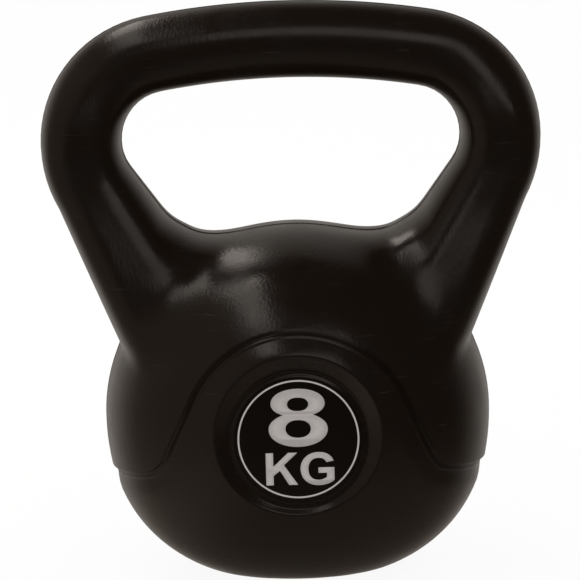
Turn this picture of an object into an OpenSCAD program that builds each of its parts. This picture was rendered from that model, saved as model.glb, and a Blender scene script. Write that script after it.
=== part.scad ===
// Filled plastic kettlebell, 8 kg.
// A hollow one-piece shell is blown in a two-part mould, filled with a cement mix through a port in
// its base, and closed with a push-in plug. A round label sits in a dished seat, front and back.
// Millimetres. +Z is up, X runs along the grip, the front looks along -Y. The origin is the middle
// of the base.

/* [Overall] */
// Height from the floor to the top of the grip
height = 275; // [262:1:290]
// Width across the outsides of the handle
handle_w = 237; // [226:1:250]

/* [Ball] */
// Width of the ball, side to side
ball_w = 184; // [174:1:196]
// Depth of the ball, front to back
ball_d = 168; // [152:1:182]
// Height of the ball's widest level
waist_z = 77.5; // [73:0.5:81]
// Height of the dome's crest, under the hand hole
crest_z = 168; // [156:1:174]
// Reach of the bowl below the widest level, before the base is cut flat
bowl_drop = 83.5; // [82:0.5:92]
// Rise of the front and back bellies over the widest level
belly_lift = 12.5; // [6:0.5:15]
// Squareness of the dome seen from the front, where 2 is an ellipse
dome_front_n = 1.95; // [1.8:0.05:2.2]
// Squareness of the dome seen from the side
dome_side_n = 2; // [1.8:0.05:2.3]
// Squareness of the bowl seen from the front
bowl_front_n = 2.3; // [2:0.05:2.6]
// Squareness of the bowl seen from the side
bowl_side_n = 2.1; // [1.9:0.05:2.5]

/* [Bowl edge] */
// Step in from the upper shell to the lower bowl
bowl_step = 1; // [0:0.1:2.5]
// Radius of the arch that the bowl's edge makes over the label seat
arch_r = 54.5; // [50:0.5:60]
// Height of the arch's middle
arch_z = 78; // [74:0.5:84]
// Angle above level where the arch turns into straight legs
arch_turn = 24; // [10:1:40]
// Height of the bowl's edge at the sides of the ball
edge_side_z = 53.5; // [46:0.5:60]
// Rise of that edge towards the middle, for each millimetre
edge_slope = 0.35; // [0:0.05:0.6]
// Softness of the turn from the legs into the side edges
edge_blend = 8; // [2:1:14]

/* [Handle] */
// Thickness of the grip, both ways
grip_d = 36; // [32:0.5:38]
// Thickness of the handle's corners, seen from the front
corner_d = 38.4; // [34:0.4:42]
// Bow of the grip, as the radius of its middle line
bow_r = 380; // [300:10:700]
// Radius of the corners' middle line
corner_r = 42.3; // [38:0.1:48]
// Lean of the arms from upright
arm_lean = 29; // [26:0.5:31]
// Growth of the arms' half width for each millimetre down the arm
arm_flare = 0.11; // [0.06:0.01:0.16]
// Thickness of the arms at the shoulders, front to back
shoulder_t = 49.5; // [46:0.5:54]
// Thickness of the arms at the ball, front to back
root_t = 89; // [82:1:98]
// Reach of the arms' rounded edges at the shoulders, in from their outline
arm_edge = 16.5; // [14:0.5:18]
// Reach of those edges at the ball
root_edge = 19; // [17:0.5:22]
// Squareness of the arms' edges, where 2 is an ellipse
arm_square = 2.5; // [2:0.1:2.7]
// Level where the arms start to widen, front to back
widen_z = 252; // [244:1:258]
// Level of the shoulders, where the edges are tightest
shoulder_z = 210; // [200:1:220]
// Level where the arms are widest
root_z = 115; // [106:1:122]

/* [Blends] */
// Softness of the hand hole's lower corners
hole_blend = 47.7; // [36:0.1:56]
// Softness of the waist between arm and ball, seen from the front
neck_blend = 5.2; // [3:0.1:9]
// Softness of the valley between arm and ball on the front and back
valley_blend = 24; // [18:1:34]
// Distance from the middle where the hole's softness ends
blend_in_x = 50; // [44:1:56]
// Distance from the middle where the waist's softness begins
blend_out_x = 82; // [76:1:88]

/* [Shell] */
// Wall of the blown shell
wall = 3; // [2:0.1:4]
// Wall of the shell across the base
base_wall = 4; // [3.6:0.1:6]

/* [Label seat] */
// Height of the seat's middle
seat_z = 80; // [76:0.5:84]
// Diameter of the label
label_d = 59; // [50:0.2:62]
// Thickness of the label
label_t = 0.4; // [0.2:0.1:0.8]
// Height of the label's middle over the seat's middle
label_rise = 0.8; // [0:0.1:2]
// Width of the pad that shows round the label
pad_margin = 2.6; // [2.4:0.1:4]
// Height of the pad over the floor of the seat
pad_h = 0.9; // [0.4:0.1:2]
// Width of the floor round the pad
floor_w = 1.1; // [0.5:0.1:3]
// Depth of the pad's face behind the foremost point of the belly
seat_depth = 12; // [10:0.5:14]
// Lean of the dished wall from the seat's axis
dish_lean = 52; // [45:1:62]

/* [Fill port and plug] */
// Diameter of the fill port
port_d = 26; // [20:1:28]
// Diameter of the boss round the port, inside the shell
boss_d = 38; // [37:1:46]
// Height of the boss over the inside of the base
boss_h = 6; // [4:0.5:10]
// Diameter of the plug's flange
flange_d = 33; // [31:0.5:34]
// Thickness of the plug's flange
flange_t = 1.6; // [1.2:0.1:2]
// Depth of the plug's face inside the base
plug_sink = 0.6; // [0.4:0.1:1]
// Wall of the plug's skirt
skirt_wall = 2; // [1.4:0.1:3]
// Reach of the plug's barb past its skirt, all round
barb_reach = 0.5; // [0.3:0.1:1]
// Height of the plug's barb
barb_h = 3; // [2:0.5:4]
// Room between the plug and the shell, all round
plug_clear = 0.15; // [0.1:0.05:0.3]

/* [Filling] */
// Gap that the filling leaves as it sets and shrinks
shrink_gap = 0.2; // [0.1:0.05:0.5]

/* [Hidden] */

// Steps round the handle, round the ball and across each section of a skin
handle_steps = 46;
ball_steps = 26;
section_steps = 36;
// Direction of the waist from the middle of the hand hole, measured from upright
waist_angle = 136;
// Halvings that bring a skin point within a few thousandths of a millimetre
halvings = 13;
// Longest reach of a section from its middle
section_reach = 150;
// Width over which the bowl's step is smoothed
step_run = 8;
// Depth and levels at which the ball's flat outline draws in, so that only the true ball shows there
tuck = 9;
tuck_top = 128;
tuck_bottom = 92;
// Softness of the valley right at the outline, and the distance over which it opens
rim_blend = 3;
rim_run = 24;
// Levels between which the valley fades out on the ball
valley_bottom = 85;
valley_run = 45;
// Overlap that makes a cut run clear through
cut = 1;

grip_r = grip_d / 2;
corner_half = corner_d / 2;
ball_rx = ball_w / 2;
ball_ry = ball_d / 2;
dome_rise = crest_z - waist_z;
// Middle of the hand hole, between the crest and the underside of the grip
hole_z = (crest_z + height - grip_d) / 2;
// Centres of the grip's bow and of the right corner, and the angle at which they meet
bow_z = height - grip_r - bow_r;
corner_x = handle_w / 2 - corner_half - corner_r;
bow_turn = asin(corner_x / (bow_r - corner_r));
corner_z = bow_z + (bow_r - corner_r) * cos(bow_turn);
// Top of the right arm's straight, and its length down to the widest level of the ball
arm_x = corner_x + corner_r * cos(arm_lean);
arm_z = corner_z - corner_r * sin(arm_lean);
arm_len = (arm_z - waist_z) / cos(arm_lean);
// Places of the pad's face and of the floor round it
seat_y = ball_ry - seat_depth;
floor_y = seat_y - pad_h;
pad_r = label_d / 2 + pad_margin;
floor_r = pad_r + floor_w;
port_r = port_d / 2;
port_depth = base_wall + boss_h;
sink_r = flange_d / 2 + plug_clear;
sink_depth = flange_t + plug_sink;
skirt_r = port_r - plug_clear;
plug_tip = port_depth + shrink_gap + barb_h;

// ---- Outer form: below zero inside the shell, above zero outside, about true to distance ----

function ease(t) = let (c = min(max(t, 0), 1)) c * c * (3 - 2 * c);

// The lower of two forms, with a round valley of softness k where they meet
function soft_join(a, b, k) = let (h = max(k - abs(a - b), 0) / k) min(a, b) - h * h * h * k / 6;

// Ball with its own squareness above and below the widest level, to the front and to the side
function ball(x, y, z) =
    let (fx = x / ball_rx)
    let (fy = y / ball_ry)
    let (rise = z - belly_lift * min(fy * fy, 1.5) - waist_z)
    let (rho = max(norm([fx, fy]), 1e-6))
    let (to_front = fy * fy / (rho * rho))
    let (h = rise > 0 ? dome_rise : bowl_drop)
    let (n = rise > 0 ? dome_front_n + (dome_side_n - dome_front_n) * to_front
                      : bowl_front_n + (bowl_side_n - bowl_front_n) * to_front)
    let (fz = abs(rise) / h)
    let (size = max(pow(pow(rho, n) + pow(fz, n), 1 / n), 1e-6))
    let (slope_xy = pow(rho, n - 2) * norm([fx / ball_rx, fy / ball_ry]))
    let (slope_z = pow(fz, n - 1) / h)
    (size - 1) / (norm([slope_xy, slope_z]) * pow(size, 1 - n) + 1e-9);

// Outline of the handle in the middle plane, round a middle line of bow, corner arcs and arms
function handle(x, z) =
    let (px = abs(x))
    let (turn = atan2(px - corner_x, z - corner_z))
    let (bow = atan2(px, z - bow_z) < bow_turn ? abs(norm([px, z - bow_z]) - bow_r) : 1000)
    let (on_corner = turn >= bow_turn && turn <= 90 + arm_lean)
    let (corner = on_corner ? abs(norm([px - corner_x, z - corner_z]) - corner_r) : 1000)
    let (down = (arm_x - px) * sin(arm_lean) + (arm_z - z) * cos(arm_lean))
    let (arm = down > 0 ? abs((px - arm_x) * cos(arm_lean) + (arm_z - z) * sin(arm_lean)) : 1000)
    let (off = min(bow, corner, arm))
    let (on_arm = arm <= off)
    let (round = bow <= off ? 0 : on_arm ? 1 : (turn - bow_turn) / (90 + arm_lean - bow_turn))
    let (run = on_arm ? down : 0)
    let (r = grip_r + (corner_half - grip_r) * ease(round) + arm_flare * min(run, arm_len))
    norm([off, max(run - arm_len, 0)]) - r;

// Outline of the whole front view: the ball joined to the handle
function outline(x, z) =
    let (side = ease((abs(x) - blend_in_x) / (blend_out_x - blend_in_x)))
    let (softness = hole_blend + (neck_blend - hole_blend) * side)
    let (tucked = tuck * ease((tuck_top - z) / (tuck_top - tuck_bottom)))
    soft_join(ball(x, 0, z) + tucked, handle(x, z), softness);

// Handle made solid: its outline given a thickness, with its edges rounded off
function handle_solid(s, y, z) =
    let (upper = ease((widen_z - z) / (widen_z - shoulder_z)))
    let (lower = ease((shoulder_z - z) / (shoulder_z - root_z)))
    let (half = grip_r + (shoulder_t / 2 - grip_r) * upper + (root_t - shoulder_t) / 2 * lower)
    let (edge = grip_r + (arm_edge - grip_r) * upper + (root_edge - arm_edge) * lower)
    let (n = 2 + (arm_square - 2) * upper)
    let (across = max(s + edge, 0) / edge)
    let (through = abs(y) / half)
    let (size = max(pow(pow(across, n) + pow(through, n), 1 / n), 1e-6))
    let (slope = norm([pow(across / size, n - 1) / edge, pow(through / size, n - 1) / half]))
    (size - 1) / (slope + 1e-9);

// Distance over the bowl's edge, seen from the front: above zero on the upper shell, below on the bowl
function over_edge(x, z) =
    let (px = abs(x))
    let (rise = z - arch_z)
    let (round = atan2(rise, px) > arch_turn)
    let (arch = round ? norm([px, rise]) : px * cos(arch_turn) + rise * sin(arch_turn))
    let (side = (z - edge_side_z - edge_slope * (ball_rx - px)) / norm([1, edge_slope]))
    soft_join(arch - arch_r, side, edge_blend);

function form(x, y, z) =
    let (s = outline(x, z))
    let (valley = ease(-s / rim_run) * ease((z - valley_bottom) / valley_run))
    let (softness = rim_blend + (valley_blend - rim_blend) * valley)
    let (step = bowl_step * ease(0.5 - over_edge(x, z) / step_run))
    soft_join(ball(x, y, z) + step, handle_solid(s, y, z), softness);

// ---- Skins: the form as a closed ring of sections round the hand hole ----

function hole_point(angle, u, y) = [u * sin(angle), y, hole_z + u * cos(angle)];

// Distance at which a ray leaves the form, between a point inside it and one outside
function leave(angle, mid, turn, near, far, depth, left) =
    let (t = (near + far) / 2)
    let (p = hole_point(angle, mid + t * cos(turn), t * sin(turn)))
    left == 0 ? t
    : form(p[0], p[1], p[2]) + depth < 0 ? leave(angle, mid, turn, t, far, depth, left - 1)
    : leave(angle, mid, turn, near, t, depth, left - 1);

// First and last crossing of the outline on the way out from the middle of the hand hole
function first_in(angle, u) = outline(u * sin(angle), hole_z + u * cos(angle)) < 0 ? u : first_in(angle, u + 2);
function last_in(angle, u) = outline(u * sin(angle), hole_z + u * cos(angle)) < 0 ? u : last_in(angle, u - 2);

function section(angle, depth) =
    let (inner = first_in(angle, 4))
    let (outer = last_in(angle, height))
    let (mid = (inner + outer) / 2)
    [for (j = [0 : section_steps - 1])
        let (turn = 360 * j / section_steps)
        let (limit = cos(turn) < 0 ? min(section_reach, -mid / cos(turn)) : section_reach)
        let (t = leave(angle, mid, turn, 0, limit, depth, halvings))
        hole_point(angle, mid + t * cos(turn), t * sin(turn))];

ring_angles = concat(
    [for (i = [0 : handle_steps - 1]) -waist_angle + 2 * waist_angle * i / handle_steps],
    [for (i = [0 : ball_steps - 1]) waist_angle + (360 - 2 * waist_angle) * i / ball_steps]);

// Closed skin at a depth below the outer form
module skin(depth) {
    rings = len(ring_angles);
    points = [for (angle = ring_angles) each section(angle, depth)];
    at = function (i, j) (i % rings) * section_steps + j % section_steps;
    faces = [for (i = [0 : rings - 1], j = [0 : section_steps - 1])
        each [[at(i, j), at(i + 1, j + 1), at(i + 1, j)], [at(i, j), at(i, j + 1), at(i + 1, j + 1)]]];
    polyhedron(points, faces, convexity = 6);
}

// Everything below a level
module below(z) {
    size = 2 * height;
    translate([-size / 2, -size / 2, z - size]) cube(size);
}

// Turns an upright shape to face the front (side = -1) or the back (side = 1) at a depth and a level
module face(side, y, z) {
    translate([0, side * y, z]) rotate([-90 * side, 0, 0]) children();
}

// Dish of a label seat, grown by a wall all round
module dish(side, grow) {
    bottom_r = floor_r + grow * (1 - sin(dish_lean)) / cos(dish_lean);
    length = seat_depth + pad_h + grow + 2 * cut;
    face(side, floor_y - grow, seat_z)
        cylinder(h = length, r1 = bottom_r, r2 = bottom_r + length * tan(dish_lean), $fn = 96);
}

// Room in front of a label seat: the dish without the pad that carries the label
module seat(side) {
    difference() {
        dish(side, 0);
        face(side, floor_y - cut, seat_z) cylinder(h = pad_h + cut, r = pad_r, $fn = 96);
    }
}

// Room inside the shell, or the filling that fills it, drawn in by a gap
module cavity(gap) {
    difference() {
        skin(wall + gap);
        below(base_wall + gap);
        dish(-1, wall + gap);
        dish(1, wall + gap);
        cylinder(h = port_depth + gap, d = boss_d + 2 * gap, $fn = 96);
    }
}

// ---- Pieces ----

// Blown shell: ball, arms and grip in one wall, with the label seats and the fill port
module shell() {
    color("#1d1a18")
        difference() {
            skin(0);
            below(0);
            seat(-1);
            seat(1);
            cavity(0);
            translate([0, 0, -cut]) cylinder(h = port_depth + 2 * cut, r = port_r, $fn = 96);
            translate([0, 0, -cut]) cylinder(h = sink_depth + cut, r = sink_r, $fn = 96);
        }
}

// Cement mix cast inside the shell, with the hollow that the plug's barb leaves
module filling() {
    color("#8d8a84")
        difference() {
            cavity(shrink_gap);
            cylinder(h = plug_tip + shrink_gap, r = port_r + barb_reach + shrink_gap, $fn = 96);
        }
}

// Push-in plug: flange, hollow skirt and a barb that snaps behind the boss
module fill_plug() {
    inner_r = skirt_r - skirt_wall;
    color("#26231f")
        rotate_extrude($fn = 96)
            polygon([
                [0, plug_sink],
                [flange_d / 2, plug_sink],
                [flange_d / 2, sink_depth],
                [skirt_r, sink_depth],
                [skirt_r, port_depth + shrink_gap],
                [skirt_r + barb_reach, port_depth + shrink_gap],
                [skirt_r, plug_tip],
                [inner_r, plug_tip],
                [inner_r, sink_depth],
                [0, sink_depth],
            ]);
}

module label(side) {
    color("#161412")
        face(side, seat_y, seat_z + label_rise) cylinder(h = label_t, d = label_d, $fn = 96);
}

// Printed discs glued onto the pads of the seats
module front_label() { label(-1); }
module rear_label() { label(1); }

shell();
filling();
fill_plug();
front_label();
rear_label();
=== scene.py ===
import math

import bmesh
import bpy
import numpy as np
from mathutils import Matrix, Vector


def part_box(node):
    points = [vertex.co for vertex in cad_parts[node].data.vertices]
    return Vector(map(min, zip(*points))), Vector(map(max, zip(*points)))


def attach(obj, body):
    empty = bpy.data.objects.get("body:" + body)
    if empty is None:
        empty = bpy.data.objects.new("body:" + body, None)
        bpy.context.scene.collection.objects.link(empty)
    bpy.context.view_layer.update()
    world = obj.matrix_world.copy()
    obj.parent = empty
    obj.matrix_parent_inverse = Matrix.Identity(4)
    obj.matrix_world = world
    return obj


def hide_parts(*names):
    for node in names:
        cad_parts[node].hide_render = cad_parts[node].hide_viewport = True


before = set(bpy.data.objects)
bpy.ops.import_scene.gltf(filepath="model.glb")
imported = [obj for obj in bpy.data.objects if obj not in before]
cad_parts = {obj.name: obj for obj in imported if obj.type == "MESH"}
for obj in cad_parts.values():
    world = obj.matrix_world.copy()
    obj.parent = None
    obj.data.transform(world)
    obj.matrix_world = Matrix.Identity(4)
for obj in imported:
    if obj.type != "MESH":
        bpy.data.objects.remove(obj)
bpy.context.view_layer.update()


# ---- Shell ----
# The kettlebell's one-piece shell: ball, arms and grip in a single wall of black polyethylene.
# It is blown in a two-part mould, which leaves a fine parting line round its middle plane. The
# lower bowl is set in along an arch-shaped edge, and a dished seat front and back holds a label.

# The ball: half its width and depth, the level of its waist, and how far the dome rises over it
# and the bowl drops under it. The belly lifts the waist towards the front and the back. A pair of
# powers is how square an outline is, seen from the front and from the side.
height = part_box("shell")[1].z
ball_rx, ball_ry = 0.092, 0.084
waist_z, dome_rise, bowl_drop = 0.0775, 0.0905, 0.0835
belly_lift, belly_limit = 0.0125, 1.5
dome_n, bowl_n = (1.95, 2.0), (2.3, 2.1)
# The handle: a bowed grip, two corners and two leaning arms that grow wider towards the ball.
handle_w, grip_r, corner_half = 0.237, 0.018, 0.0192
bow_r, corner_r = 0.380, 0.0423
arm_lean, arm_flare = math.radians(29), 0.11
# From front to back it grows from the round grip to the shoulders, and on to the arms' roots.
shoulder_half, root_half = 0.02475, 0.0445
arm_edge, root_edge, arm_square = 0.0165, 0.019, 2.5
widen_z, shoulder_z, root_z = 0.252, 0.210, 0.115
# Where ball and handle meet: round the hand hole, at the neck outside, and in the valleys between
# the arms and the dome. The ball is tucked in below the neck.
hole_blend, neck_blend, valley_blend = 0.0477, 0.0052, 0.024
blend_in_x, blend_out_x = 0.050, 0.082
rim_blend, rim_run, valley_bottom, valley_run = 0.003, 0.024, 0.085, 0.045
tuck, tuck_top, tuck_bottom = 0.009, 0.128, 0.092

# What follows from these: the crest, the middle of the hand hole, and the centres of the bow and
# the corners, with the place and length of the arms.
crest_z = waist_z + dome_rise
hole_z = (crest_z + height - 2 * grip_r) / 2
bow_z = height - grip_r - bow_r
corner_x = handle_w / 2 - corner_half - corner_r
bow_turn = math.asin(corner_x / (bow_r - corner_r))
corner_z = bow_z + (bow_r - corner_r) * math.cos(bow_turn)
arm_x = corner_x + corner_r * math.cos(arm_lean)
arm_z = corner_z - corner_r * math.sin(arm_lean)
arm_len = (arm_z - waist_z) / math.cos(arm_lean)
# A distance that counts as nowhere near, and the least that something may be divided by.
far_off, tiny, tiniest = 1.0, 1e-6, 1e-9


def ease(t):
    t = np.clip(t, 0, 1)
    return t * t * (3 - 2 * t)


def soft_join(a, b, softness):
    """The lower of two forms, with a round valley where they meet."""
    near = np.maximum(softness - np.abs(a - b), 0) / softness
    return np.minimum(a, b) - near**3 * softness / 6


def ball(x, y, z):
    """Distance out of the ball: below zero inside, above zero outside."""
    fx, fy = x / ball_rx, y / ball_ry
    rise = z - belly_lift * np.minimum(fy * fy, belly_limit) - waist_z
    rho = np.maximum(np.hypot(fx, fy), tiny)
    to_front = (fy / rho) ** 2
    reach = np.where(rise > 0, dome_rise, bowl_drop)
    front_n = np.where(rise > 0, dome_n[0], bowl_n[0])
    side_n = np.where(rise > 0, dome_n[1], bowl_n[1])
    n = front_n + (side_n - front_n) * to_front
    fz = np.abs(rise) / reach
    size = np.maximum((rho**n + fz**n) ** (1 / n), tiny)
    slope_xy = rho ** (n - 2) * np.hypot(fx / ball_rx, fy / ball_ry)
    slope_z = fz ** (n - 1) / reach
    return (size - 1) / (np.hypot(slope_xy, slope_z) * size ** (1 - n) + tiniest)


def handle(x, z):
    """Outline of the handle in the middle plane, round a middle line of bow, corners and arms."""
    px = np.abs(x)
    turn = np.arctan2(px - corner_x, z - corner_z)
    on_bow = np.arctan2(px, z - bow_z) < bow_turn
    bow = np.where(on_bow, np.abs(np.hypot(px, z - bow_z) - bow_r), far_off)
    on_corner = (turn >= bow_turn) & (turn <= math.pi / 2 + arm_lean)
    from_corner = np.abs(np.hypot(px - corner_x, z - corner_z) - corner_r)
    corner = np.where(on_corner, from_corner, far_off)
    down = (arm_x - px) * math.sin(arm_lean) + (arm_z - z) * math.cos(arm_lean)
    across = np.abs((px - arm_x) * math.cos(arm_lean) + (arm_z - z) * math.sin(arm_lean))
    arm = np.where(down > 0, across, far_off)
    off = np.minimum(np.minimum(bow, corner), arm)
    on_arm = arm <= off
    part = (turn - bow_turn) / (math.pi / 2 + arm_lean - bow_turn)
    part = np.where(bow <= off, 0, np.where(on_arm, 1, part))
    run = np.where(on_arm, down, 0)
    half = grip_r + (corner_half - grip_r) * ease(part) + arm_flare * np.minimum(run, arm_len)
    return np.hypot(off, np.maximum(run - arm_len, 0)) - half


def outline(x, z):
    """Outline of the whole shell in the middle plane: ball and handle in one."""
    side = ease((np.abs(x) - blend_in_x) / (blend_out_x - blend_in_x))
    softness = hole_blend + (neck_blend - hole_blend) * side
    tucked = tuck * ease((tuck_top - z) / (tuck_top - tuck_bottom))
    return soft_join(ball(x, 0 * x, z) + tucked, handle(x, z), softness)


def handle_solid(off_outline, y, z):
    """The handle's outline given a thickness, with its edges rounded off."""
    upper = ease((widen_z - z) / (widen_z - shoulder_z))
    lower = ease((shoulder_z - z) / (shoulder_z - root_z))
    half = grip_r + (shoulder_half - grip_r) * upper + (root_half - shoulder_half) * lower
    edge = grip_r + (arm_edge - grip_r) * upper + (root_edge - arm_edge) * lower
    n = 2 + (arm_square - 2) * upper
    across, through = np.maximum(off_outline + edge, 0) / edge, np.abs(y) / half
    size = np.maximum((across**n + through**n) ** (1 / n), tiny)
    slope_out = np.hypot((across / size) ** (n - 1) / edge, (through / size) ** (n - 1) / half)
    return (size - 1) / (slope_out + tiny)


def form(points):
    """Distance out of the shell's plain form: below zero inside, above zero outside."""
    x, y, z = points.T
    off_outline = outline(x, z)
    valley = ease(-off_outline / rim_run) * ease((z - valley_bottom) / valley_run)
    softness = rim_blend + (valley_blend - rim_blend) * valley
    return soft_join(ball(x, y, z), handle_solid(off_outline, y, z), softness)


# The bowl's edge: an arch over each seat, straight legs and a side run. A channel runs under its
# lip, with a fine bead below it, and from there the bowl comes out again to almost the plain form.
arch_r, arch_z, arch_turn = 0.0545, 0.078, math.radians(24)
edge_side_z, edge_slope, edge_blend = 0.0535, 0.35, 0.008
channel_depth, channel_start, channel_run = 0.0020, -0.0006, 0.0015
bowl_rise, bowl_start, bowl_run = 0.0017, 0.0005, 0.0120
bead_h, bead_place, bead_half = 0.0003, 0.0028, 0.0011
# The parting line stands a little proud.
parting_h, parting_half = 0.0003, 0.0006


def over_edge(x, z):
    """Distance over the bowl's edge, seen from the front: above zero on the upper shell."""
    px, rise = np.abs(x), z - arch_z
    leg = px * math.cos(arch_turn) + rise * math.sin(arch_turn)
    arch = np.where(np.arctan2(rise, px) > arch_turn, np.hypot(px, rise), leg) - arch_r
    side = (z - edge_side_z - edge_slope * (ball_rx - px)) / math.hypot(1, edge_slope)
    return soft_join(arch, side, edge_blend)


def relief(points):
    """Depth of the channel, less the rise of the bowl below it, its bead and the parting line."""
    x, y, z = points.T
    under = -over_edge(x, z)
    channel = channel_depth * ease((under - channel_start) / channel_run)
    bowl = bowl_rise * ease((under - bowl_start) / bowl_run)
    bowl += bead_h * ease(1 - np.abs(under - bead_place) / bead_half)
    return channel - bowl - parting_h * (1 - ease(np.abs(y) / parting_half))


# The label seat: a wall leaning outwards, a narrow floor and a raised pad for the label.
seat_z, pad_y, pad_h = 0.080, 0.072, 0.0009
pad_edge, pad_edge_run = 0.0319, 0.0020
seat_floor_r, seat_lean, foot_blend, rim_softness = 0.0327, math.radians(52), 0.0006, 0.0012
base_softness = 0.005


def seat_profile(r):
    """Distance of the seat from the middle plane, at a distance from the seat's axis."""
    pad = pad_y - pad_h + pad_h * ease((pad_edge - r) / pad_edge_run)
    leaning = pad_y - pad_h + (r - seat_floor_r) / math.tan(seat_lean)
    return -soft_join(-pad, -leaning, foot_blend)


def over_rim(points):
    """Distance out of the seat: below zero in the room in front of it."""
    x, y, z = points.T
    return (seat_profile(np.hypot(x, z - seat_z)) - np.abs(y)) * math.sin(seat_lean)


def skin(points):
    """Distance out of the whole shell, with its edge, parting line, seats and flat base."""
    outer = form(points) + relief(points)
    seated = -soft_join(-outer, over_rim(points), rim_softness)
    return -soft_join(-seated, points[:, 2], base_softness)


slope_step, shading_step = 2e-5, 1e-5


def slope(field, points, step=slope_step):
    """How a field changes along X, Y and Z at each point."""
    columns = []
    for axis in np.eye(3) * step:
        columns.append((field(points + axis) - field(points - axis)) / (2 * step))
    return np.stack(columns, axis=1)


def unit(vectors):
    return vectors / np.maximum(np.linalg.norm(vectors, axis=1), tiniest)[:, None]


def places(bm):
    return np.array([v.co for v in bm.verts])


def put(bm, points):
    for vert, point in zip(bm.verts, points):
        vert.co = point


def settle(points, field, rounds=4):
    """Moves points along a field's slope until they lie where it is zero."""
    for _ in range(rounds):
        rise = slope(field, points)
        steep = np.maximum((rise**2).sum(axis=1), tiniest)
        points = points - rise * (field(points) / steep)[:, None]
    return points


def crossing(field, at, near, far, rounds):
    """How far along its own line each point crosses a field's zero, between near and far."""
    for _ in range(rounds):
        half = (near + far) / 2
        inside = field(at(half)) < 0
        near, far = np.where(inside, half, near), np.where(inside, far, half)
    return near


def slide(points, away, field, reach):
    """Moves points along given directions to where a field turns from below to above zero."""
    def at(t):
        return points + away * t[:, None]

    limit = np.full(len(points), reach)
    return at(crossing(field, at, -limit, limit, rounds=26))


# The skin starts as a plain ring of round sections, spun about the middle of the hand hole. Its
# sections are then spread out, and searched outwards for the form.
handle_rings, ball_rings, section_points = 112, 52, 80
waist_angle = math.radians(136)
start_r, start_tube = 0.110, 0.018
search_from, search_step, search_far = 0.004, 0.001, 0.15
rings = handle_rings + ball_rings


def spun_ring():
    bm = bmesh.new()
    made = bmesh.ops.create_circle(bm, segments=section_points, radius=start_tube)
    stand = Matrix.Translation((0, 0, start_r)) @ Matrix.Rotation(math.pi / 2, 4, "Y")
    bmesh.ops.transform(bm, matrix=stand, verts=made["verts"])
    bmesh.ops.spin(bm, geom=bm.verts[:] + bm.edges[:], axis=(0, 1, 0), angle=2 * math.pi,
                   steps=rings, use_merge=True)
    bmesh.ops.recalc_face_normals(bm, faces=bm.faces[:])
    return bm


def first_inside(angles, distances):
    """For each direction from the hand hole's middle, the first distance that is in the form."""
    x = np.outer(np.sin(angles), distances)
    z = hole_z + np.outer(np.cos(angles), distances)
    return distances[(outline(x, z) < 0).argmax(axis=1)]


def shaped_ring(field):
    """The ring with its sections spread out and each point moved out to where a field is zero."""
    bm = spun_ring()
    x, y, z = places(bm).T
    turn = np.arctan2(x, z)
    around = np.arctan2(y, np.hypot(x, z) - start_r)
    ring = np.rint(turn * rings / (2 * math.pi)) + handle_rings / 2
    ring = np.where(ring < 0, ring + rings, ring)
    on_handle = -waist_angle + 2 * waist_angle * ring / handle_rings
    on_ball = waist_angle + 2 * (math.pi - waist_angle) * (ring - handle_rings) / ball_rings
    angle = np.where(ring < handle_rings, on_handle, on_ball)
    steps = np.arange(search_from, height, search_step)
    middle = (first_inside(angle, steps) + first_inside(angle, steps[::-1])) / 2

    def at(t):
        u = middle + t * np.cos(around)
        return np.stack([u * np.sin(angle), t * np.sin(around), hole_z + u * np.cos(angle)], axis=1)

    towards_hole = -middle / np.minimum(np.cos(around), -tiny)
    limit = np.minimum(search_far, np.where(np.cos(around) < 0, towards_hole, far_off))
    put(bm, at(crossing(field, at, np.zeros(len(angle)), limit, rounds=24)))
    return bm


def kept_mark(bm):
    """The layer that marks the corners which stay where they are when lines are drawn."""
    return bm.verts.layers.int.get("kept") or bm.verts.layers.int.new("kept")


def keep_corners(bm, wanted):
    kept = kept_mark(bm)
    for vert, want in zip(bm.verts, wanted(places(bm))):
        if want:
            vert[kept] = 1


# A line moves a corner onto itself if it passes nearer to it than this part of an edge.
snap = 0.2


def draw_lines(bm, field, levels, among):
    """Draws mesh edges where a field has each level, among the points that are allowed."""
    kept = kept_mark(bm)
    for line in levels:
        bm.verts.index_update()
        points = places(bm)
        value = field(points) - line
        edges = [e for e in bm.edges if value[e.verts[0].index] * value[e.verts[1].index] < 0]
        ends = np.array([[v.index for v in e.verts] for e in edges])
        allowed = among(points)
        crossed = [k for k in range(len(edges)) if allowed[ends[k]].all()]
        # Corners near the line move onto it, unless they are kept; the other edges are split.
        on_line, moved = [], {}
        for k in crossed:
            a, b = ends[k]
            share = value[a] / (value[a] - value[b])
            for end, other, part in ((a, b, share), (b, a, 1 - share)):
                if part < snap and part < moved.get(end, (1, 0))[0]:
                    moved[end] = (part, other)
        bm.verts.ensure_lookup_table()
        for end, (part, other) in moved.items():
            if not bm.verts[end][kept]:
                bm.verts[end].co = points[end] + part * (points[other] - points[end])
                value[end] = 0
                on_line.append(bm.verts[end])
        for k in crossed:
            a, b = ends[k]
            if value[a] * value[b] < 0:
                share = value[a] / (value[a] - value[b])
                on_line.append(bmesh.utils.edge_split(edges[k], edges[k].verts[0], share)[1])
        for vert in on_line:
            vert[kept] = 1
        bmesh.ops.connect_verts(bm, verts=on_line)


def refined(bm, wanted):
    """Halves the edges of the faces whose middles are wanted."""
    middles = np.array([face.calc_center_median() for face in bm.faces])
    faces = [face for face, want in zip(bm.faces, wanted(middles)) if want]
    edges = dict.fromkeys(edge for face in faces for edge in face.edges)
    bmesh.ops.subdivide_edges(bm, edges=list(edges), cuts=1, use_grid_fill=True)


def spread(start, run, parts):
    """Levels for lines, at parts of a run from its start."""
    return [start + run * part for part in parts]


# The skin: the ring brought to the form, refined where it curves most on the ball and the arms'
# roots, with lines drawn along every edge before the points are moved in or out.
body_angle = math.radians(108)
edge_top, base_clear, relief_reach = 0.145, 0.003, 0.003


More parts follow.
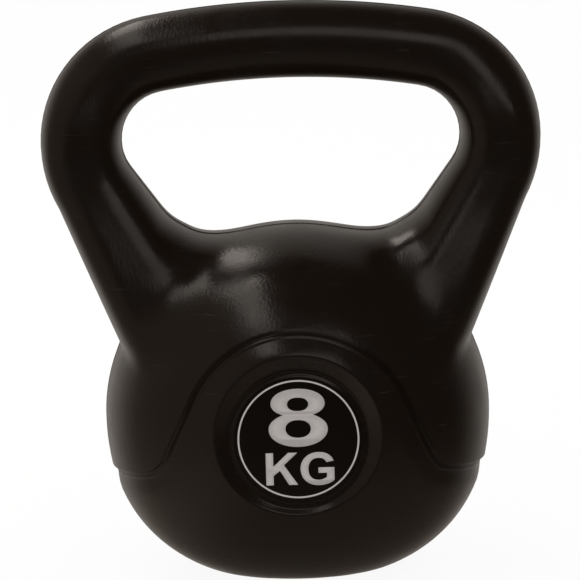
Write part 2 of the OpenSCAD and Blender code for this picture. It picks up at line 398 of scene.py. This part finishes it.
def on_body(points):
    return np.abs(np.arctan2(points[:, 0], points[:, 2] - hole_z)) > body_angle


bm = shaped_ring(form)
refined(bm, on_body)
put(bm, settle(places(bm), form))
keep_corners(bm, lambda p: np.abs(p[:, 1]) < tiny)
draw_lines(bm, lambda p: p[:, 1], spread(0, parting_half, (-1, -0.5, 0.5, 1)),
           lambda p: p[:, 2] > base_clear)
edge_levels = spread(channel_start, channel_run, (-0.3, 0, 0.25, 0.5, 0.75, 1))
edge_levels += spread(bead_place, bead_half, (-1, -0.5, 0, 0.5, 1))
edge_levels += spread(bowl_start, bowl_run, (0.5, 0.7, 1))
draw_lines(bm, lambda p: -over_edge(p[:, 0], p[:, 2]), edge_levels, lambda p: p[:, 2] < edge_top)
points = settle(places(bm), form, rounds=2)
put(bm, slide(points, unit(slope(form, points)), lambda p: form(p) + relief(p), relief_reach))

# The seats: lines round the rim, the pad and the floor, then the points in front of each seat are
# pressed straight in.
seat_front, seat_reach, seat_press = 0.055, 0.050, 0.016


def from_seat(points):
    return np.hypot(points[:, 0], points[:, 2] - seat_z)


def before_seat(points):
    return (np.abs(points[:, 1]) > seat_front) & (from_seat(points) < seat_reach)


draw_lines(bm, over_rim, spread(0, rim_softness, (-1, -0.65, -0.3, 0, 0.3, 0.65, 1)), before_seat)
pad_levels = spread(pad_edge, -pad_edge_run, (1, 0.75, 0.5, 0.25, 0))
pad_levels += spread(seat_floor_r, foot_blend, (-0.6, 0, 0.8))
draw_lines(bm, from_seat, pad_levels, before_seat)
points = places(bm)
chosen = before_seat(points)
out = np.sign(points[chosen][:, 1:2]) * (0, 1, 0)
points[chosen] = slide(points[chosen], out, skin, seat_press)
put(bm, points)

# The base: the lowest points are pressed level.
base_line, base_top, base_reach, base_press = 0.003, 0.02, 0.008, 0.009
draw_lines(bm, lambda p: p[:, 2], (-base_line, 0, base_line), lambda p: p[:, 2] < base_top)
points = places(bm)
chosen = points[:, 2] < base_reach
down = np.tile((0, 0, -1.0), (chosen.sum(), 1))
points[chosen] = slide(points[chosen], down, skin, base_press)
put(bm, points)

# The fill port: a sink for the plug's flange, then a hole through the base and through the boss
# inside it. Each pair is a radius and a level, and the first one rounds the sink's rim. A corner
# lies on a level if it is within level_reach of it.
wall, base_wall = 0.003, 0.004
plug_low, plug_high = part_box("fill_plug")
plug_gap = 0.00015
sink_r, sink_depth = plug_high.x + plug_gap, 0.0022
port_r, port_depth, boss_r, port_edge = 0.013, 0.010, 0.019, 0.0003
level_reach = 0.0015
port_rings = [
    (sink_r + 0.4 * port_edge, 0.15 * port_edge), (sink_r, port_edge),
    (sink_r, sink_depth - port_edge), (sink_r - port_edge, sink_depth),
    (port_r + port_edge, sink_depth), (port_r, sink_depth + port_edge),
    (port_r, port_depth - port_edge), (port_r + port_edge, port_depth),
    (boss_r - port_edge, port_depth), (boss_r, port_depth - port_edge),
    (boss_r, base_wall + port_edge),
]


def from_axis(points):
    return np.hypot(points[:, 0], points[:, 1])


def opened(bm, radius, level):
    """Cuts a round hole in a level face on the Z axis and gives the open edges."""
    def near_hole(points):
        return (np.abs(points[:, 2] - level) < level_reach) & (from_axis(points) < 2 * radius)

    def in_hole(vert):
        off_axis = math.hypot(vert.co.x, vert.co.y)
        return off_axis < radius + tiny and abs(vert.co.z - level) < level_reach

    draw_lines(bm, from_axis, [radius], near_hole)
    inner = [f for f in bm.faces if all(in_hole(v) for v in f.verts)]
    bmesh.ops.delete(bm, geom=inner, context="FACES")
    return [e for e in bm.edges if e.is_boundary]


def drawn_out(bm, edges, radius, level):
    """Extrudes a ring of edges on the Z axis to another radius and level."""
    made = bmesh.ops.extrude_edge_only(bm, edges=edges)["geom"]
    verts = {g for g in made if isinstance(g, bmesh.types.BMVert)}
    for vert in verts:
        grow = radius / math.hypot(vert.co.x, vert.co.y)
        vert.co = (vert.co.x * grow, vert.co.y * grow, level)
    return [g for g in made if isinstance(g, bmesh.types.BMEdge) and set(g.verts) <= verts]


port_mouth = opened(bm, sink_r + port_edge, 0)
for radius, level in port_rings:
    port_mouth = drawn_out(bm, port_mouth, radius, level)


def room(points):
    """Distance out of the room inside the shell, one wall below the plain form and the seats."""
    inner = form(points) + wall
    seated = -soft_join(-inner, over_rim(points) - wall, 2 * wall)
    return -soft_join(-seated, points[:, 2] - base_wall, wall)


def take_in(bm, other):
    """Adds another bmesh to this one, and frees it."""
    passing = bpy.data.meshes.new("passing")
    other.to_mesh(passing)
    other.free()
    bm.from_mesh(passing)
    bpy.data.meshes.remove(passing)


# The inner wall, open at the boss and turned to face inwards, is joined on at the port's last ring.
inner_wall = shaped_ring(room)
bmesh.ops.reverse_faces(inner_wall, faces=inner_wall.faces[:])
opened(inner_wall, boss_r + port_edge, base_wall)
take_in(bm, inner_wall)
bmesh.ops.bridge_loops(bm, edges=[e for e in bm.edges if e.is_boundary])
bmesh.ops.triangulate(bm, faces=[f for f in bm.faces if len(f.verts) > 4])


def object_from(bm, name):
    """Makes an object of a finished bmesh and puts it in the scene."""
    mesh = bpy.data.meshes.new(name)
    bm.to_mesh(mesh)
    bm.free()
    made = bpy.data.objects.new(name, mesh)
    bpy.context.scene.collection.objects.link(made)
    return made


def piece_from(bm, name):
    """Makes a smooth piece of a finished bmesh and rides it on the kettlebell's one body."""
    piece = object_from(bm, name)
    piece.data.shade_smooth()
    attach(piece, "root")
    return piece


points = places(bm)
shell = piece_from(bm, "shell_moulding")
# The outer skin shades as the form that it follows; the port and the inside keep their own shading.
normals = np.array([v.vector for v in shell.data.vertex_normals])
outer = np.abs(skin(points)) < tiny
normals[outer] = unit(slope(skin, points[outer], shading_step))
shell.data.normals_split_custom_set_from_vertices(normals)
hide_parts("shell")


def linear(code):
    """An sRGB hex colour as the linear values that the shaders take."""
    parts = [int(code[k:k + 2], 16) / 255 for k in (1, 3, 5)]
    return [c / 12.92 if c <= 0.04045 else ((c + 0.055) / 1.055) ** 2.4 for c in parts] + [1]


def add(tree, kind, links=(), **settings):
    """Adds a node with its settings; links pairs each of its inputs with a socket or a value."""
    node = tree.nodes.new(kind)
    for name, value in settings.items():
        setattr(node, name, value)
    for name, value in links:
        if isinstance(value, bpy.types.NodeSocket):
            tree.links.new(value, node.inputs[name])
        else:
            node.inputs[name].default_value = value
    return node


def new_material(name):
    material = bpy.data.materials.new(name)
    material.use_nodes = True
    material.node_tree.nodes.clear()
    return material, material.node_tree


def finished(tree, **sockets):
    """Ends a material in one plain shader and its output."""
    values = [(name.replace("_", " "), value) for name, value in sockets.items()]
    shader = add(tree, "ShaderNodeBsdfPrincipled", values)
    add(tree, "ShaderNodeOutputMaterial", [("Surface", shader.outputs[0])])


# Black polyethylene as it comes out of a blowing mould. The eye sees a warm black with a satin
# gloss that is a little cloudy, a fine upright ripple from the stretched plastic, and a few level
# scuffs. The ripple is drawn as coarse as it needs to be to show.
shell_black, shell_scuffed = "#140d07", "#2a231c"
satin, dull, cloud_low, cloud_high = 0.20, 0.28, 0.35, 0.65
ripple_mm, ripple_long, ripple_h = 1.2, 16, 0.00006
cloud_mm, scuff_mm, scuff_long = 14, 0.7, 22
scuff_from, scuff_full, scuff_most = 0.68, 0.80, 0.5
polyethylene_ior = 1.5

shell_material, tree = new_material("blow_moulded_polyethylene")
spot = add(tree, "ShaderNodeTexCoord").outputs["Object"]
upright = add(tree, "ShaderNodeMapping", [("Vector", spot), ("Scale", (1, 1, 1 / ripple_long))])
ripple = add(tree, "ShaderNodeTexNoise", [
    ("Vector", upright.outputs["Vector"]), ("Scale", 1000 / ripple_mm), ("Detail", 1),
    ("Roughness", 0.4)])
rippled = add(tree, "ShaderNodeBump", [("Height", ripple.outputs["Fac"]), ("Distance", ripple_h)])
cloud = add(tree, "ShaderNodeTexNoise", [
    ("Vector", spot), ("Scale", 1000 / cloud_mm), ("Detail", 4)])
gloss = add(tree, "ShaderNodeMapRange", [
    ("Value", cloud.outputs["Fac"]), ("From Min", cloud_low), ("From Max", cloud_high),
    ("To Min", satin), ("To Max", dull)])
drawn_level = add(tree, "ShaderNodeMapping", [
    ("Vector", spot), ("Scale", (1 / scuff_long, 1 / scuff_long, 1))])
scuff = add(tree, "ShaderNodeTexNoise", [
    ("Vector", drawn_level.outputs["Vector"]), ("Scale", 1000 / scuff_mm), ("Detail", 1),
    ("Roughness", 0.4)])
scuffed = add(tree, "ShaderNodeMapRange", [
    ("Value", scuff.outputs["Fac"]), ("From Min", scuff_from), ("From Max", scuff_full),
    ("To Max", scuff_most)])
tint = add(tree, "ShaderNodeMix", [
    ("Factor", scuffed.outputs["Result"]), ("A", linear(shell_black)),
    ("B", linear(shell_scuffed))], data_type="RGBA")
finished(tree, Base_Color=tint.outputs["Result"], Roughness=gloss.outputs["Result"],
         IOR=polyethylene_ior, Normal=rippled.outputs["Normal"])
shell.data.materials.append(shell_material)


# ---- Filling ----
# The weight itself: a mix of cement and iron sand, poured into the shell through the port in its
# base and set there. It fills the ball and the handle, so nothing of it shows.

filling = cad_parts["filling"]

# Cast cement. The eye sees grains of sand and iron, 1 to 2 mm across, in a dry grey binder.
grain_mm, cement_dark, cement_pale, cement_rough = 1.8, "#6f6c66", "#a19d95", 0.95
filling_material, tree = new_material("cast_cement_mix")
spot = add(tree, "ShaderNodeTexCoord").outputs["Object"]
grains = add(tree, "ShaderNodeTexVoronoi", [("Vector", spot), ("Scale", 1000 / grain_mm)])
tint = add(tree, "ShaderNodeMix", [
    ("Factor", grains.outputs["Distance"]), ("A", linear(cement_dark)),
    ("B", linear(cement_pale))], data_type="RGBA")
finished(tree, Base_Color=tint.outputs["Result"], Roughness=cement_rough)
filling.data.materials.clear()
filling.data.materials.append(filling_material)


# ---- Fill plug ----
# The push-in cap that closes the fill port: an injection-moulded polyethylene flange with a hollow
# skirt, and a barb round the skirt that snaps in behind the boss. It lies just inside the base.

flange_z, flange_t = plug_low.z, 0.0016
skirt_r, skirt_wall, barb_h, barb_reach = port_r - plug_gap, 0.002, 0.003, 0.0005
plug_edge, gate_r, gate_depth = 0.0002, 0.0022, 0.0003
plug_turns, weld = 96, 1e-6

inner_r = skirt_r - skirt_wall
flange_top = flange_z + flange_t
barb_z = plug_high.z - barb_h
plug_profile = [
    (0, flange_z + gate_depth), (gate_r, flange_z + gate_depth), (gate_r + gate_depth, flange_z),
    (plug_high.x, flange_z), (plug_high.x, flange_top), (skirt_r, flange_top), (skirt_r, barb_z),
    (skirt_r + barb_reach, barb_z), (skirt_r, plug_high.z), (inner_r, plug_high.z),
    (inner_r, flange_top), (0, flange_top),
]


def lathe(profile, edge, turns, segments=3):
    """Spins a profile of radii and levels about the Z axis, with its corners rounded."""
    bm = bmesh.new()
    corners = [bm.verts.new((r, 0, z)) for r, z in profile]
    for a, b in zip(corners, corners[1:]):
        bm.edges.new((a, b))
    bmesh.ops.bevel(bm, geom=corners[1:-1], affect="VERTICES", offset=edge, segments=segments,
                    profile=0.5, material=-1)
    bmesh.ops.spin(bm, geom=bm.verts[:] + bm.edges[:], axis=(0, 0, 1), angle=2 * math.pi,
                   steps=turns, use_merge=True)
    bmesh.ops.remove_doubles(bm, verts=bm.verts[:], dist=weld)
    bmesh.ops.recalc_face_normals(bm, faces=bm.faces[:])
    return bm


plug = piece_from(lathe(plug_profile, plug_edge, plug_turns), "fill_plug_cap")
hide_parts("fill_plug")

# Black polyethylene from a polished steel mould. The eye sees an even, quiet sheen, with pale flow
# clouds where the plastic cooled first.
flow_mm, plug_black, plug_flow, sheen_least, sheen_most = 5, "#161310", "#24201d", 0.42, 0.56
plug_material, tree = new_material("injection_moulded_polyethylene")
spot = add(tree, "ShaderNodeTexCoord").outputs["Object"]
flow = add(tree, "ShaderNodeTexNoise", [
    ("Vector", spot), ("Scale", 1000 / flow_mm), ("Detail", 3)])
tint = add(tree, "ShaderNodeMix", [
    ("Factor", flow.outputs["Fac"]), ("A", linear(plug_black)), ("B", linear(plug_flow))],
    data_type="RGBA")
sheen = add(tree, "ShaderNodeMapRange", [
    ("Value", flow.outputs["Fac"]), ("To Min", sheen_least), ("To Max", sheen_most)])
finished(tree, Base_Color=tint.outputs["Result"], Roughness=sheen.outputs["Result"],
         IOR=polyethylene_ior)
plug.data.materials.append(plug_material)


# ---- Labels ----
# A round vinyl sticker on the pad of each seat: black film with the weight printed on it in a pale
# grey ink, inside a thin ring. The film is cut a little smaller than the pad and glued flat.

label_edge, ink_h, label_turns = 0.00015, 0.00003, 128
ring_r, ring_line, ink_weld = 0.0281, 0.0008, 1e-7
# The figure and the letters are drawn in millimetres from the label's middle. Each corner of an
# outline has two handles, one back along the outline and one ahead. An oval's handles are a little
# longer than an ellipse's, which fills it out.
oval_handle = 0.6


def curved(x, y, back, ahead):
    return (x, y), back, ahead


def sharp(x, y):
    return (x, y), (0, 0), (0, 0)


def oval(x, y, half_w, half_h):
    """A closed oval outline, of four corners."""
    w, h = half_w * oval_handle, half_h * oval_handle
    return [curved(x, y + half_h, (-w, 0), (w, 0)), curved(x + half_w, y, (0, h), (0, -h)),
            curved(x, y - half_h, (w, 0), (-w, 0)), curved(x - half_w, y, (0, -h), (0, h))]


def mirrored(right_half):
    """The left half of an outline, going back up, from its right half."""
    return [((-x, y), (-ahead_x, ahead_y), (-back_x, back_y))
            for (x, y), (back_x, back_y), (ahead_x, ahead_y) in reversed(right_half)]


eight_y = 10.2
eight_right = [
    curved(0, 13.8, (-7.2, 0), (7.2, 0)), curved(12.45, 6.9, (0, 3.9), (0, -3.0)),
    curved(7.0, 1.35, (3.0, 1.1), (3.6, -1.3)), curved(13.65, -5.5, (0, 3.4), (0, -4.7)),
]
eight_foot = [curved(0, -13.8, (7.8, 0), (-7.8, 0))]
eight = eight_right + eight_foot + mirrored(eight_right[1:])
eight = [((x, y + eight_y), back, ahead) for (x, y), back, ahead in eight]
eight_holes = [oval(0, eight_y + 6.4, 4.9, 3.2), oval(0, eight_y - 5.25, 5.85, 4.2)]
letter_k = [sharp(*place) for place in (
    (-15.35, -6.3), (-11.9, -6.3), (-11.9, -12.8), (-5.0, -6.3), (-0.7, -6.3), (-7.0, -12.2),
    (-0.6, -21.65), (-4.8, -21.65), (-8.9, -14.8), (-11.9, -17.2), (-11.9, -21.65),
    (-15.35, -21.65))]
letter_g = [
    curved(8.9, -6.25, (-4.7, 0), (3.9, 0)), curved(15.95, -10.5, (-0.9, 2.6), (0, 0)),
    curved(12.65, -11.2, (0, 0), (-0.6, 1.3)), curved(9.1, -9.0, (1.7, 0), (-3.0, 0)),
    curved(4.25, -14.3, (0, 3.2), (0, -3.3)), curved(8.95, -19.5, (-3.0, 0), (1.5, 0)),
    curved(12.75, -18.1, (-1.0, -0.9), (0, 0)), sharp(12.75, -16.2), sharp(8.85, -16.2),
    sharp(8.85, -13.6), sharp(16.25, -13.6), curved(16.25, -19.7, (0, 0), (-2.0, -1.6)),
    curved(8.9, -22.1, (2.9, 0), (-4.9, 0)), curved(0.6, -14.2, (0, -4.6), (0, 4.6)),
]


def inked(outlines, thickness):
    """A flat print of closed outlines, as a bmesh facing +Z."""
    curve = bpy.data.curves.new("ink", "CURVE")
    curve.dimensions, curve.fill_mode = "2D", "BOTH"
    curve.resolution_u, curve.extrude = 10, thickness / 2
    for corners in outlines:
        spline = curve.splines.new("BEZIER")
        spline.bezier_points.add(len(corners) - 1)
        spline.use_cyclic_u = True
        for point, ((x, y), back, ahead) in zip(spline.bezier_points, corners):
            point.handle_left_type = point.handle_right_type = "FREE"
            point.co = Vector((x, y, 0)) / 1000
            point.handle_left = Vector((x + back[0], y + back[1], 0)) / 1000
            point.handle_right = Vector((x + ahead[0], y + ahead[1], 0)) / 1000
    holder = bpy.data.objects.new("ink", curve)
    flat = bpy.data.meshes.new_from_object(holder)
    bm = bmesh.new()
    bm.from_mesh(flat)
    bpy.data.objects.remove(holder)
    bpy.data.curves.remove(curve)
    bpy.data.meshes.remove(flat)
    return bm


def printed():
    """The whole print: ring, number and unit."""
    inner, outer = ring_r - ring_line, ring_r
    ring_profile = [(inner, 0), (inner, ink_h), (outer, ink_h), (outer, 0), (inner, 0)]
    bm = lathe(ring_profile, ink_h / 4, label_turns, segments=1)
    for outlines in ([eight, *eight_holes], [letter_k], [letter_g]):
        sign = inked(outlines, ink_h)
        bmesh.ops.translate(sign, verts=sign.verts, vec=(0, 0, ink_h / 2))
        take_in(bm, sign)
    bmesh.ops.remove_doubles(bm, verts=bm.verts[:], dist=ink_weld)
    return bm


# Black vinyl, glossier than the shell. The eye sees a smooth dark film with a faint orange peel,
# from the glue under it, and a slightly uneven gloss.
film_black, film_ior = "#0f0702", 1.5
peel_mm, peel_h, uneven_mm, film_gloss, film_dull = 2.5, 0.000006, 9, 0.24, 0.36
film_material, tree = new_material("black_vinyl_film")
spot = add(tree, "ShaderNodeTexCoord").outputs["Object"]
peel = add(tree, "ShaderNodeTexNoise", [
    ("Vector", spot), ("Scale", 1000 / peel_mm), ("Detail", 1)])
peeled = add(tree, "ShaderNodeBump", [("Height", peel.outputs["Fac"]), ("Distance", peel_h)])
uneven = add(tree, "ShaderNodeTexNoise", [
    ("Vector", spot), ("Scale", 1000 / uneven_mm), ("Detail", 3)])
gloss = add(tree, "ShaderNodeMapRange", [
    ("Value", uneven.outputs["Fac"]), ("To Min", film_gloss), ("To Max", film_dull)])
finished(tree, Base_Color=linear(film_black), Roughness=gloss.outputs["Result"], IOR=film_ior,
         Normal=peeled.outputs["Normal"])

# Screen ink. The eye sees a flat pale grey, a little denser in some places than in others where
# the squeegee left more of it.
laid_mm, ink_thin, ink_dense, ink_rough, ink_ior = 1.2, "#aba6a3", "#b5b0ae", 0.45, 1.5
ink_material, tree = new_material("pale_grey_ink")
spot = add(tree, "ShaderNodeTexCoord").outputs["Object"]
laid = add(tree, "ShaderNodeTexNoise", [
    ("Vector", spot), ("Scale", 1000 / laid_mm), ("Detail", 4)])
tint = add(tree, "ShaderNodeMix", [
    ("Factor", laid.outputs["Fac"]), ("A", linear(ink_thin)), ("B", linear(ink_dense))],
    data_type="RGBA")
finished(tree, Base_Color=tint.outputs["Result"], Roughness=ink_rough, IOR=ink_ior)

for side, turned in (("front", 0), ("rear", math.pi)):
    low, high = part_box(side + "_label")
    label_r, label_t = (high.x - low.x) / 2, high.y - low.y
    glued_y = high.y if side == "front" else low.y
    stand = (Matrix.Translation((0, glued_y, (low.z + high.z) / 2))
             @ Matrix.Rotation(turned, 4, "Z") @ Matrix.Rotation(math.pi / 2, 4, "X"))
    label_profile = [(0, 0), (label_r, 0), (label_r, label_t), (0, label_t)]
    film = lathe(label_profile, label_edge, label_turns)
    bmesh.ops.transform(film, matrix=stand, verts=film.verts)
    label = piece_from(film, side + "_label_film")
    label.data.materials.append(film_material)
    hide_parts(side + "_label")
    ink = printed()
    bmesh.ops.transform(ink, matrix=stand @ Matrix.Translation((0, 0, label_t)), verts=ink.verts)
    ink_piece = piece_from(ink, side + "_label_print")
    ink_piece.data.materials.append(ink_material)


# ---- Camera ----
# A long lens in front of the kettlebell and a little above it, aimed at the middle of its height
# and turned a degree and a half off level.

view_height, view_distance = 0.137, 1.6
view_elevation, view_roll = math.radians(11.78), math.radians(-1.485)

camera = bpy.data.cameras.new("camera")
camera.sensor_width, camera.lens = 36, 207.4966
camera.shift_x, camera.shift_y = -0.0078, -0.0036
camera_piece = bpy.data.objects.new("camera", camera)
bpy.context.scene.collection.objects.link(camera_piece)
aim = Matrix.Rotation(math.pi / 2 - view_elevation, 4, "X") @ Matrix.Rotation(view_roll, 4, "Z")
camera_piece.matrix_world = (
    Matrix.Translation((0, 0, view_height)) @ aim @ Matrix.Translation((0, 0, view_distance)))
bpy.context.scene.camera = camera_piece


# ---- Studio ----
# A white paper floor under even light from all round, and three softboxes: two overhead at the
# left, end to end from front to back, and one in front. A tent of dark cloth stands round them, as
# for any glossy black thing: it shows only in the gloss. It is not lit but glows, so its light and
# shade are painted.

bpy.context.scene.view_settings.view_transform = "Standard"
fill_strength, floor_glow, paper_white = 0.9, 0.93, "#f2f2f2"
floor_r, floor_gap, floor_turns = 8, 0.0002, 64
warm_white, warm_painted_glow = "#fff5ec", "#ffead8"


def seen_directly(tree):
    """1 where the camera, or gloss or glass, sees the surface; 0 for the light that it gives."""
    ray = add(tree, "ShaderNodeLightPath")
    seen = ray.outputs["Is Camera Ray"]
    for other in ("Is Glossy Ray", "Is Transmission Ray"):
        either = add(tree, "ShaderNodeMath", [(0, seen), (1, ray.outputs[other])],
                     operation="MAXIMUM")
        seen = either.outputs["Value"]
    return seen


world = bpy.data.worlds.new("studio")
bpy.context.scene.world = world
world.use_nodes = True
tree = world.node_tree
strength = add(tree, "ShaderNodeMapRange", [
    ("Value", seen_directly(tree)), ("To Min", fill_strength), ("To Max", 1)])
tree.links.new(strength.outputs["Result"], tree.nodes["Background"].inputs["Strength"])
tree.nodes["Background"].inputs["Color"].default_value = (1, 1, 1, 1)

bm = bmesh.new()
bmesh.ops.create_circle(bm, cap_ends=True, segments=floor_turns, radius=floor_r,
                        matrix=Matrix.Translation((0, 0, -floor_gap)))
floor = object_from(bm, "floor")
floor_material, tree = new_material("white_paper_floor")
paper = add(tree, "ShaderNodeBsdfDiffuse", [("Color", linear(paper_white))])
glow = add(tree, "ShaderNodeEmission")
share = add(tree, "ShaderNodeMath", [(0, seen_directly(tree)), (1, floor_glow)],
            operation="MULTIPLY")
mixed = add(tree, "ShaderNodeMixShader", [
    ("Fac", share.outputs["Value"]), (1, paper.outputs["BSDF"]), (2, glow.outputs["Emission"])])
add(tree, "ShaderNodeOutputMaterial", [("Surface", mixed.outputs["Shader"])])
floor.data.materials.append(floor_material)
floor.visible_glossy = False

# The tent's cloth glows with painted light: dark, and painted lighter behind, at the left and low
# down, where light would reach it.
tent_r = 1.5
# Levels of the tent's painted glow: its least, and how much lighter it is painted at the left,
# behind and below.
tent_dark, tent_left, tent_back, tent_below = 0.0175, 0.16, 0.39, 0.12
bm = bmesh.new()
bmesh.ops.create_icosphere(bm, subdivisions=4, radius=tent_r)
tent = object_from(bm, "tent")
tent.visible_camera = tent.visible_diffuse = tent.visible_shadow = tent.visible_transmission = False
tent_material, tree = new_material("tent_of_painted_glow")
spot = add(tree, "ShaderNodeTexCoord").outputs["Object"]
parts = add(tree, "ShaderNodeSeparateXYZ", [("Vector", spot)])
# Along each axis the painted glow grows lighter by an amount, between two places given as parts
# of its radius. The painted light behind fades out towards the floor.
lighter = []
for axis, start, stop, amount in (
        ("Y", 0.18, 0.85, tent_back), ("Z", -0.85, -0.25, 1),
        ("X", -0.2, -0.8, tent_left), ("Z", -0.1, -0.75, tent_below)):
    grown = add(tree, "ShaderNodeMapRange", [
        ("Value", parts.outputs[axis]), ("From Min", start * tent_r), ("From Max", stop * tent_r),
        ("To Max", amount)], interpolation_type="SMOOTHSTEP")
    lighter.append(grown.outputs["Result"])
behind, over_floor, left, below = lighter
backdrop = add(tree, "ShaderNodeMath", [(0, behind), (1, over_floor)], operation="MULTIPLY")
light = backdrop.outputs["Value"]
for more in (left, below, tent_dark):
    light = add(tree, "ShaderNodeMath", [(0, light), (1, more)], operation="ADD").outputs["Value"]
# The painted glow is warm where it is dim, and whiter where the cloth behind is painted lighter.
whiter = add(tree, "ShaderNodeMath", [(0, backdrop.outputs["Value"]), (1, tent_back)],
             operation="DIVIDE")
painted_glow_colour = add(tree, "ShaderNodeMix", [
    ("Factor", whiter.outputs["Value"]), ("A", linear(warm_painted_glow)), ("B", linear(warm_white))],
    data_type="RGBA")
glow = add(tree, "ShaderNodeEmission", [("Color", painted_glow_colour.outputs["Result"]), ("Strength", light)])
add(tree, "ShaderNodeOutputMaterial", [("Surface", glow.outputs["Emission"])])
tent.data.materials.append(tent_material)

middle = Vector((0, 0, 0.13))
overhead_rise = 1
front_wide, front_tall, front_brightness, front_distance = 0.85, 0.43, 0.57, 1.2
front_azimuth, front_elevation = math.radians(15), math.radians(35.5)


def softbox(name, place, aim, wide, tall, brightness):
    """A softbox at one place that faces another, with its power worked out from its brightness."""
    lamp = bpy.data.lights.new(name, "AREA")
    lamp.shape = "RECTANGLE"
    lamp.size, lamp.size_y = wide, tall
    # A quarter of a lamp's power for each square metre is its brightness.
    lamp.energy = brightness * 4 * wide * tall
    lamp.color = linear(warm_white)[:3]
    piece = bpy.data.objects.new(name, lamp)
    bpy.context.scene.collection.objects.link(piece)
    facing = (aim - place).to_track_quat("-Z", "Y").to_matrix().to_4x4()
    piece.matrix_world = Matrix.Translation(place) @ facing
    piece.visible_camera = False


for name, x, y_front, y_back, wide, brightness in (
        ("overhead_left_front", -0.455, -1.60, 0.13, 0.31, 1.15),
        ("overhead_left_back", -0.47, 0.13, 1.25, 0.36, 2.3)):
    place = middle + Vector((x, (y_front + y_back) / 2, overhead_rise))
    straight_down = place + Vector((0, 0, -1))
    softbox(name, place, straight_down, wide, y_back - y_front, brightness)
to_front = Vector((math.sin(front_azimuth), -math.cos(front_azimuth), math.tan(front_elevation)))
front_place = middle + front_distance * to_front.normalized()
softbox("front", front_place, middle, front_wide, front_tall, front_brightness)
